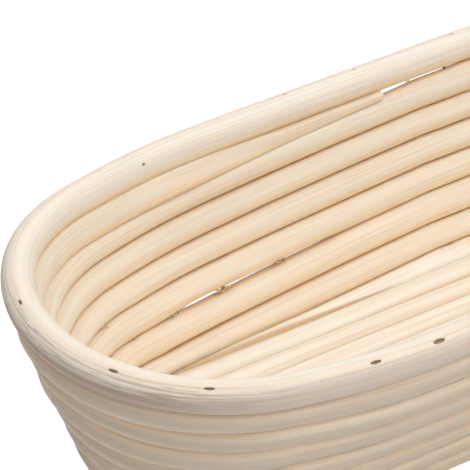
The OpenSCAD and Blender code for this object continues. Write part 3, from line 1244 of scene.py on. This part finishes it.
@dataclass
class FloorCoil:
    """The floor: one cane laid flat, to and fro round a straight middle strand."""

    shape: BasketShape
    strand_gap: float = 0.06 * MM
    end_bend: float = math.radians(166)
    bend_sections: int = 26
    nose: tuple[float, ...] = (78.0, 65.0, 50.0, 35.0, 18.0, 0.0)
    station: float = 5.0 * MM
    sides: int = 32
    sway: float = 0.12 * MM
    far_lift: float = 1.3 * MM

    @property
    def pitch(self) -> float:
        """Distance from strand to strand."""
        return (self.shape.floor_half_width - self.shape.pitch / 2) / (self.shape.floor_loops + 0.5)

    @property
    def thickness(self) -> float:
        """Thickness of the strands."""
        return self.pitch - self.shape.row_gap

    @property
    def bend_x(self) -> float:
        """Distance of the bends' centres from the middle."""
        return self.shape.floor_half_length - self.shape.floor_half_width

    @property
    def height(self) -> float:
        """Height of the strands' middle."""
        return self.thickness / 2 - self.shape.foot_depth

    def bend(self, number: int, angles: Array, radius: Array) -> tuple[Array, Array]:
        """Points of one half turn.

        Args:
            number: The half turn's number, from 1 at the middle.
            angles: Angles round it.
            radius: Its radius at each angle.

        Returns:
            Points and outward directions.
        """
        odd = number % 2 == 1
        side = 1.0 if odd else -1.0
        middle = np.array([side * self.bend_x, -self.pitch / 2 if odd else 0.0, self.height])
        out = np.stack([side * np.sin(angles), side * np.cos(angles), 0 * angles], axis=-1)
        return middle + out * radius[:, None], out

    def corners(self) -> tuple[Array, Array, Array]:
        """Points of the whole strand: its round start, the half turns and the tapered end.

        Returns:
            Points, outward directions and widths.
        """
        wide = self.pitch - self.strand_gap
        nose = np.radians(self.nose)
        reach = -self.bend_x - wide / 2 * np.sin(nose)
        parts = [(
            np.column_stack([reach, 0 * nose, 0 * nose + self.height]),
            np.tile([0.0, 1.0, 0.0], (len(nose), 1)), wide * np.cos(nose),
        )]
        half = np.linspace(0.0, math.pi, self.bend_sections)
        last = 2 * self.shape.floor_loops + 1
        for number in range(1, last):
            bend = self.bend(number, half, np.full(len(half), number * self.pitch / 2))
            parts.append((*bend, np.full(len(half), wide)))
        angles = np.linspace(0.0, self.end_bend, self.bend_sections)
        narrow = wide * (1 + np.cos(angles)) / 2
        parts.append((*self.bend(last, angles, last * self.pitch / 2 - (wide - narrow) / 2), narrow))
        points, outs, sizes = (np.concatenate(part) for part in zip(*parts))
        return points, outs, sizes

    def path(self) -> CanePath:
        """Follows the whole strand.

        Returns:
            The stations.
        """
        points, outs, sizes = self.corners()
        length = distances(points)
        even = np.arange(0.0, length[-1], self.station)
        along = np.unique(np.concatenate([length, even]).round(6))
        centre, out = (
            np.column_stack([np.interp(along, length, axis) for axis in part.T]) for part in (points, outs)
        )
        high = np.interp(along, length, sizes)
        centre[:, 2] += smooth_noise(along, 0.09, 31) * self.sway
        far = step(centre[:, 1], 27 * MM, 32 * MM) * step(centre[:, 0], -50 * MM, 45 * MM)
        centre[:, 2] += far * self.far_lift
        down = np.tile([0.0, 0.0, -1.0], (len(along), 1))
        plain = 0 * along
        wide = plain + self.thickness
        return CanePath(centre, unit(out), down, high, wide, plain, plain, plain + UNSHAVED, plain)

    def build(self, grower: CaneGrower, material: Material) -> None:
        """Builds the piece."""
        place(grower.cane("floor_cane_coil", self.path(), self.sides, material), Slot.FLOOR, "floor_coil")


@dataclass
class RimHoop:
    """The rim: one level hoop of thicker cane with a slanted joint and small nail pits."""

    shape: BasketShape
    drop: float = 0.28 * MM
    joint: float = 258 / TURN
    joint_gap: float = 0.2 * MM
    cut_slope: float = 2.0
    cut_reach: float = 32 * MM
    girth: float = 759 * MM
    station: float = 2.5 * MM
    pit_station: float = 0.25 * MM
    pit_reach: float = 4.0 * MM
    pit_depth: float = 0.9 * MM
    pit_radius: float = 0.56 * MM
    split_length: float = 2.8 * MM
    split_width: float = 0.3 * MM
    sides: int = 96
    sway: float = 0.18 * MM
    rough_at: float = 353.0
    swell: Curve = Curve((0, 70, 95, 200, 335, 360), (1.08, 1.08, 1.03, 1.02, 1.03, 1.08))

    def pits(self) -> list[Triple]:
        """Lists the nail pits.

        Returns:
            Places in degrees, angles round the cane from its top outwards in degrees, and sizes.
        """
        top = [110, 136, 160, 181, 204, 226, 246, 270, 286, 301, 311, 334, 347, 7, 78, 91]
        wide = [0.7, 1.0, 0.95, 1.05, 0.9, 1.0, 1.1, 0.95, 1.0, 1.4, 1.2, 1.05, 1.05, 0.85, 0.7, 0.7]
        lean = [-8.0] + [6.0] * (len(top) - 3) + [-8.0, -8.0]
        return list(zip(top, lean, wide)) + [(50.0, -69.0, 0.5)]

    def line(self, turn: Array) -> tuple[Array, Array, Array]:
        """Middle of the hoop, and its directions up the wall and out of it."""
        lift = self.shape.drift.lift(np.full(len(turn), self.shape.rows + 2), np.mod(turn, 1.0) * TURN)
        return self.shape.wall(self.shape.rim_slant - self.drop + lift, turn)

    def path(self) -> CanePath:
        """Follows the hoop, with stations close together at the pits.

        Returns:
            The stations.
        """
        half_gap = self.joint_gap * math.hypot(1.0, self.cut_slope) / 2 / self.girth
        first, last = self.joint + half_gap, self.joint + 1.0 - half_gap
        even = np.linspace(first, last, int(self.girth / self.station))
        close = np.arange(-self.pit_reach, self.pit_reach, self.pit_station) / self.girth
        near = [np.mod(degrees / TURN - first, 1.0) + first + close for degrees, _, _ in self.pits()]
        turn = np.unique(np.concatenate([even, *near]).round(7))
        turn = turn[(turn >= first) & (turn <= last)]
        centre, up, out = self.line(turn)
        along = (turn - first) * self.girth
        end = along.max() - along
        sway = smooth_noise(along, 0.11, 21) * self.sway * (step(along, 0.0, 0.04) * step(end, 0.0, 0.04))
        high = self.shape.rim_d * (1.0 + 0.006 * smooth_noise(along, 0.08, 22))
        high *= self.swell.at(np.mod(turn, 1.0) * TURN)
        wide = (high + self.shape.rim_d) / 2
        slant = self.cut_slope * np.clip(1.0 - np.minimum(along, end) / self.cut_reach, 0.0, 1.0)
        away = np.abs(np.mod(turn * TURN - self.rough_at + TURN / 2, TURN) - TURN / 2)
        rough = 1.0 - 0.88 * step(away, 8.0, 40.0)
        centre = centre + out * sway[:, None]
        return CanePath(centre, up, out, high, wide, slant, 0 * turn, 0 * turn + UNSHAVED, rough)

    def pit_marks(self, path: CanePath) -> Object:
        """Points on the hoop's surface where the pits are.

        Args:
            path: The hoop's stations.

        Returns:
            An object of points with their directions.
        """
        places, angles, sizes = (np.array(column, float) for column in zip(*self.pits()))
        centre, up, out = self.line(places / TURN)
        lean = np.radians(angles)[:, None]
        face = up * np.cos(lean) + out * np.sin(lean)
        nearest = np.linalg.norm(path.centre[None] - centre[:, None], axis=2).argmin(axis=1)
        points = path.centre[nearest] + face * path.high[nearest][:, None] / 2
        return points_object("rim_pit_marks", points, {"run": np.cross(up, out), "face": face, "size": sizes})

    def build(self, grower: CaneGrower, press: PitPress, material: Material) -> None:
        """Builds the piece.

        Args:
            grower: The cane tree.
            press: The pit tree.
            material: The finish.
        """
        path = self.path()
        marks = self.pit_marks(path)
        values = {
            "Pits": marks, "Depth": self.pit_depth, "Hole": self.pit_radius, "Split": self.split_length,
            "Width": self.split_width, "Material": material,
        }
        piece = grower.cane("rim_cane_hoop", path, self.sides, material, ((press.tree, values),))
        bpy.data.objects.remove(marks)
        place(piece, Slot.RIM, "rim_hoop")


@dataclass
class Nails:
    """Thin wire nails that hold row to row, the rim to the wall and the wall to the floor."""

    wall: WallCoil
    floor: FloorCoil
    rim: RimHoop
    nail_d: float = 1.2 * MM
    head_d: float = 1.9 * MM
    sides: int = 12
    grip_rings: int = 4
    per_row: int = 8
    floor_rows: int = 5
    bite: float = 0.65
    sink: float = 1.4 * MM
    pit_depth: float = 1.4 * MM
    length: float = 14 * MM
    tip_length: float = 1.6 * MM
    base_drop: float = 1.2 * MM
    rim_places: tuple[float, ...] = (
        108, 136, 160, 181, 204, 226, 246, 270, 286, 301, 311, 334, 347, 367, 402
    )

    def nail(self) -> Object:
        """Makes one nail along +Z: a flat head, grip rings, a plain shank and a point.

        Returns:
            The nail.
        """
        shank, head = self.nail_d / 2, self.head_d / 2
        profile = [(head * 0.85, 0.0), (head, 0.1 * MM), (head, 0.35 * MM), (shank, 0.5 * MM)]
        for ring in range(self.grip_rings):
            start = (1.2 + 0.6 * ring) * MM
            profile += [(shank, start), (shank * 0.86, start + 0.15 * MM), (shank, start + 0.3 * MM)]
        profile += [(shank, self.length - self.tip_length), (shank * 0.1, self.length)]
        return turned_shape("wire_nail", profile, self.sides)

    def rim_nails(self) -> tuple[Array, Array]:
        """Places the nails down through the rim.

        Returns:
            Heads and tips.
        """
        centre, up, _ = self.rim.line(np.array(self.rim_places) / TURN)
        shape = self.wall.shape
        head = shape.rim_d / 2 - self.pit_depth
        tip = shape.rim_rise + (self.bite - 0.5) * shape.cane_d
        return centre + up * head, centre - up * tip

    def row_nails(self, row: int) -> tuple[Array, Array]:
        """Places the nails down through one row of the wall.

        Args:
            row: The row's number, from 1.

        Returns:
            Heads and tips.
        """
        shape = self.wall.shape
        turn = row - 1 + shape.climb_to + (np.arange(self.per_row) + (row % 2) / 2) / self.per_row
        seen = {2: (35.5, 46, 70), 3: (32.5,)}
        turn = np.concatenate([turn, [row + degrees / TURN for degrees in seen.get(row, ())]])
        lower, upper = self.wall.row(turn)[0], self.wall.row(turn + 1)[0]
        down = unit(lower - upper)
        high, wide, _, _ = self.wall.sizes(turn + 1)
        head = np.where(wide < self.wall.row_wide / 2, -0.2, 1.0) * high / 2 - self.sink
        return upper - down * head[:, None], lower + down * (self.bite - 0.5) * shape.cane_d

    @staticmethod
    def level_nails(spots: list[Triple], height: float) -> tuple[Array, Array]:
        """Heads and tips of level nails, from each one's X, its head's Y and its tip's Y."""
        x, head, tip = np.array(spots).T
        return np.column_stack([x, head, 0 * x + height]), np.column_stack([x, tip, 0 * x + height])

    def base_nails(self) -> tuple[Array, Array]:
        """Places the nails in through the lowest row into the floor.

        Returns:
            Heads and tips.
        """
        shape, floor = self.wall.shape, self.floor
        outer = shape.floor_half_width + shape.cane_d / 2 - self.sink
        inner = shape.floor_loops * floor.pitch - (self.bite - 0.5) * floor.thickness
        spots = [
            (floor.bend_x * (2 * nail / (self.floor_rows - 1) - 1), side * outer, side * inner)
            for nail in range(self.floor_rows) for side in (-1, 1)
        ]
        return self.level_nails(spots, shape.row_z - self.base_drop)

    def floor_nails(self) -> tuple[Array, Array]:
        """Places the nails from strand to strand of the floor.

        Returns:
            Heads and tips.
        """
        floor, spots = self.floor, []
        for row in range(self.floor_rows - 1):
            for loop in range(1, self.wall.shape.floor_loops + 1):
                share = (2 * row + 1 + (loop % 2) / 2) / (self.floor_rows - 1) - 1
                outer = loop * floor.pitch + floor.thickness / 2 - self.sink
                inner = (loop - 1) * floor.pitch - (self.bite - 0.5) * floor.thickness
                for side in (-1, 1):
                    spots.append((floor.bend_x * share + side * self.nail_d, side * outer, side * inner))
        return self.level_nails(spots, floor.height)

    def build(self, grower: NailGrower, material: Material) -> None:
        """Builds one piece for each group of nails.

        Args:
            grower: The tree that sets shapes on points.
            material: The finish.
        """
        shape = self.nail()
        groups = {
            "rim_nails": self.rim_nails(), "base_nails": self.base_nails(), "floor_nails": self.floor_nails(),
        }
        for row in range(1, self.wall.shape.rows + 1):
            groups[f"row_nails_{row}"] = self.row_nails(row)
        for number, (node, (heads, tips)) in enumerate(groups.items()):
            length = np.linalg.norm(tips - heads, axis=1)
            stretch = np.column_stack([0 * length + 1, 0 * length + 1, length / self.length])
            piece = grower.lay("wire_" + node, shape, heads, unit(tips - heads), stretch, material, number)
            place(piece, Slot.NAIL, node)
        bpy.data.objects.remove(shape)


@dataclass
class Splinters:
    """Tufts of torn fibre where nails went in between the rows."""

    wall: WallCoil
    length: float = 2.3 * MM
    thickness: float = 0.25 * MM
    bend: float = 0.25
    sides: int = 5
    fibres: int = 9
    seed: int = 5
    lift: float = 0.7 * MM
    depth: float = 2.3 * MM
    aside: float = 1.6 * MM
    spread: float = 0.45
    more: int = 26

    def tufts(self) -> list[Triple]:
        """Lists the tufts.

        Returns:
            Whole turns of the row below each tuft, its place in degrees and its size.
        """
        seen = [
            (2, 29.5, 0.9), (2, 35.5, 1.2), (2, 46.0, 1.2), (2, 57.3, 1.4), (2, 69.5, 1.1), (3, 31.5, 1.1),
            (3, 60.0, 0.6), (3, 107.0, 0.5), (6, 101.0, 0.45), (4, 101.0, 0.5), (0, 88.5, 0.6), (0, 94.5, 0.6),
            (0, 106.5, 0.6), (1, 27.0, 0.7), (1, 49.0, 0.6), (1, 51.0, 0.65), (1, 53.0, 0.7), (1, 54.5, 0.6),
        ]
        picks = np.random.RandomState(self.seed)
        rows = picks.randint(1, self.wall.shape.rows, self.more)
        places, sizes = picks.uniform(115.0, 350.0, self.more), picks.uniform(0.4, 0.8, self.more)
        return seen + list(zip(rows.tolist(), places.tolist(), sizes.tolist()))

    def sliver(self) -> Object:
        """Makes one bent, tapered fibre along +Z.

        Returns:
            The fibre.
        """
        rings = [(0.3, 0.0), (0.9, 0.15), (1.0, 0.4), (0.7, 0.7), (0.1, 1.0)]
        shape = turned_shape("sliver", rings, self.sides)
        for vertex in shape.data.vertices:
            x, y, z = vertex.co
            vertex.co = (x * self.thickness + self.bend * self.length * z * z, y * self.thickness, z * self.length)
        return shape

    def build(self, grower: NailGrower, material: Material) -> None:
        """Builds the piece.

        Args:
            grower: The tree that sets shapes on points.
            material: The finish.
        """
        picks, shape = np.random.RandomState(self.seed + 1), self.wall.shape
        points, aims, sizes = [], [], []
        for row, degrees, size in self.tufts():
            turn = np.array([row + degrees / TURN])
            lower, up, out = (value[0] for value in self.wall.row(turn))
            under_rim = row >= shape.rows
            above = shape.wall(np.array([shape.rim_slant]), turn) if under_rim else self.wall.row(turn + 1)
            run = np.cross(up, out)
            middle = (lower + above[0][0]) / 2 - out * self.depth + up * self.lift + run * self.aside
            for _ in range(self.fibres):
                shift = picks.normal(0.0, self.spread, 3) * MM * size
                lean = run * picks.choice([-1, 1]) + up * picks.uniform(-0.3, 0.3) - out * picks.uniform(-0.2, 0.3)
                points.append(middle + run * shift[0] * 1.4 + up * shift[1] * 0.6 + out * shift[2] * 0.5)
                aims.append(lean)
                sizes.append(np.array([1.0, 1.0, picks.uniform(0.5, 1.2)]) * size)
        sliver = self.sliver()
        aim = unit(np.array(aims))
        piece = grower.lay("cane_splinters", sliver, np.array(points), aim, np.array(sizes), material, self.seed)
        bpy.data.objects.remove(sliver)
        place(piece, Slot.WALL)


@dataclass
class Studio:
    """Pale floor, soft light and the camera."""

    target: Triple = (-0.079908, 0.014652, 0.06816)
    azimuth: float = math.radians(-35.21)
    elevation: float = math.radians(34.09)
    roll: float = math.radians(0.96)
    distance: float = 0.94842
    lens: float = 240.66
    ambient: float = 0.05
    bounce: float = 0.9
    floor_half: float = 4.0
    floor_z: float = -0.3 * MM
    floor_glow: float = 1.3
    floor_glow_share: float = 0.75
    aim: Triple = (0.0, 0.0, 0.04)
    lamps: tuple[tuple[str, Triple, float, float], ...] = (
        ("right_lamp", (0.50, -0.78, 1.06), 0.9, 8.2),
        ("left_lamp", (-0.54, -0.80, 0.93), 0.9, 4.2),
        ("front_lamp", (0.10, -0.50, 1.25), 0.9, 4.4),
        ("back_lamp", (-0.24, 0.62, 1.10), 0.8, 7.8),
    )

    def camera(self) -> None:
        """Sets the camera at the photograph's angle."""
        a, e = self.azimuth, self.elevation
        back = Vector((math.sin(a) * math.cos(e), -math.cos(a) * math.cos(e), math.sin(e)))
        right = Vector((math.cos(a), math.sin(a), 0.0))
        up = back.cross(right)
        c, s = math.cos(self.roll), math.sin(self.roll)
        axes = Matrix((c * right + s * up, c * up - s * right, back)).transposed()
        data = bpy.data.cameras.new("camera")
        data.lens, data.sensor_width, data.clip_start = self.lens, 36.0, 0.01
        camera = in_scene("camera", data)
        camera.matrix_world = Matrix.Translation(Vector(self.target) + back * self.distance) @ axes.to_4x4()
        bpy.context.scene.camera = camera

    @staticmethod
    def seen(nodes: Nodes) -> Socket:
        """A mask of the rays that show the background.

        Args:
            nodes: The tree.

        Returns:
            The mask's socket.
        """
        path = nodes.add("ShaderNodeLightPath").outputs
        gloss = nodes.math("MAXIMUM", path["Is Glossy Ray"], path["Is Transmission Ray"])
        return nodes.math("MAXIMUM", path["Is Camera Ray"], gloss)

    def world(self) -> None:
        """Sets a surround that looks white and gives a little even light."""
        world = bpy.data.worlds.new("surround")
        bpy.context.scene.world = world
        world.use_nodes = True
        world.node_tree.nodes.clear()
        nodes = Nodes(world.node_tree)
        white = (1.0, 1.0, 1.0, 1.0)
        light, shown = (
            nodes.add("ShaderNodeBackground", None, {"Color": white, "Strength": strength}).outputs["Background"]
            for strength in (self.ambient, 1.0)
        )
        mixed = nodes.add("ShaderNodeMixShader", None, {0: self.seen(nodes), 1: light, 2: shown})
        nodes.add("ShaderNodeOutputWorld", None, {"Surface": mixed.outputs["Shader"]})

    def floor(self) -> None:
        """Lays a white floor that keeps a soft shadow."""
        mesh = bpy.data.meshes.new("floor")
        signs = ((-1, -1), (1, -1), (1, 1), (-1, 1))
        corners = [(x * self.floor_half, y * self.floor_half, self.floor_z) for x, y in signs]
        mesh.from_pydata(corners, [], [(0, 1, 2, 3)])
        floor = in_scene("floor", mesh)
        paint = Paint("floor_white")
        paint.tree.nodes.clear()
        grey = (self.bounce, self.bounce, self.bounce, 1.0)
        matt = paint.add("ShaderNodeBsdfDiffuse", None, {"Color": grey}).outputs["BSDF"]
        glow = paint.add("ShaderNodeEmission", None, {"Strength": self.floor_glow}).outputs["Emission"]
        share = paint.times(self.seen(paint), self.floor_glow_share)
        mixed = paint.add("ShaderNodeMixShader", None, {0: share, 1: matt, 2: glow})
        paint.add("ShaderNodeOutputMaterial", None, {"Surface": mixed.outputs["Shader"]})
        mesh.materials.append(paint.material)

    def lamp(self, name: str, spot: Triple, size: float, power: float) -> None:
        """Hangs a square soft lamp that faces the basket.

        Args:
            name: The lamp's name.
            spot: Its place.
            size: Its width.
            power: Its power in watts.
        """
        data = bpy.data.lights.new(name, "AREA")
        data.size, data.energy = size, power
        lamp = in_scene(name, data)
        lamp.location = spot
        lamp.rotation_euler = (Vector(spot) - Vector(self.aim)).to_track_quat("Z", "Y").to_euler()

    def build(self) -> None:
        """Builds the whole studio."""
        bpy.context.scene.view_settings.view_transform = "Standard"
        self.camera()
        self.world()
        self.floor()
        for lamp in self.lamps:
            self.lamp(*lamp)


def finishes() -> dict[Slot, CaneFinish]:
    """Sets the three cane finishes.

    Returns:
        The finishes by slot.
    """
    # The colours for the outer sides below are painted shade.
    wall = CaneFinish(
        "wall_cane_peeled", light=(0.88, 0.82, 0.70), warm=(0.86, 0.74, 0.58), blush=(0.86, 0.75, 0.62),
        outer_shade=(0.43, 0.32, 0.235), outer_shade_share=1.0, groove_light_share=0.95, fine_share=0.3, relief=0.0002,
        glow_share=0.6, glow_depth=2.2 * MM,
    )
    floor = CaneFinish(
        "floor_cane_peeled", light=(0.90, 0.86, 0.79), warm=(0.86, 0.77, 0.63), blush=(0.88, 0.80, 0.69),
        outer_shade=(0.78, 0.68, 0.57), crease_shade=(0.74, 0.50, 0.25), lower_light_share=0.0, outer_shade_share=0.84, shift=7.0,
    )
    rim = CaneFinish(
        "rim_cane_peeled", light=(0.88, 0.83, 0.74), warm=(0.85, 0.77, 0.66), blush=(0.86, 0.77, 0.67),
        outer_shade=(0.48, 0.37, 0.305), edge=(0.98, 0.76, 0.50), fibre=(0.66, 0.51, 0.38), dark=(0.40, 0.25, 0.15),
        lower_light_share=0.85, streak_share=0.3, fine_share=0.4, crease_shade_share=0.15, split_share=0.6, outer_shade_share=0.95,
        groove_light_share=0.0, shift=13.0, relief=0.0004, glow_share=0.6, glow_depth=2.4 * MM,
    )
    return {Slot.WALL: wall, Slot.FLOOR: floor, Slot.RIM: rim}


def main() -> None:
    """Builds the basket piece by piece, then the studio."""
    logging.basicConfig(level=logging.INFO, format="%(name)s %(message)s")
    fibres = FibreGroup()
    materials = {slot: finish.material(fibres) for slot, finish in finishes().items()}
    cane_grower, nail_grower, press = CaneGrower(), NailGrower(), PitPress()
    shape = BasketShape()
    wall, floor, rim = WallCoil(shape), FloorCoil(shape), RimHoop(shape)
    wall.build(cane_grower, materials[Slot.WALL])
    floor.build(cane_grower, materials[Slot.FLOOR])
    rim.build(cane_grower, press, materials[Slot.RIM])
    Nails(wall, floor, rim).build(nail_grower, NailFinish().material())
    Splinters(wall).build(nail_grower, SplinterFinish().material())
    Studio().build()


if __name__ == "__main__":
    main()
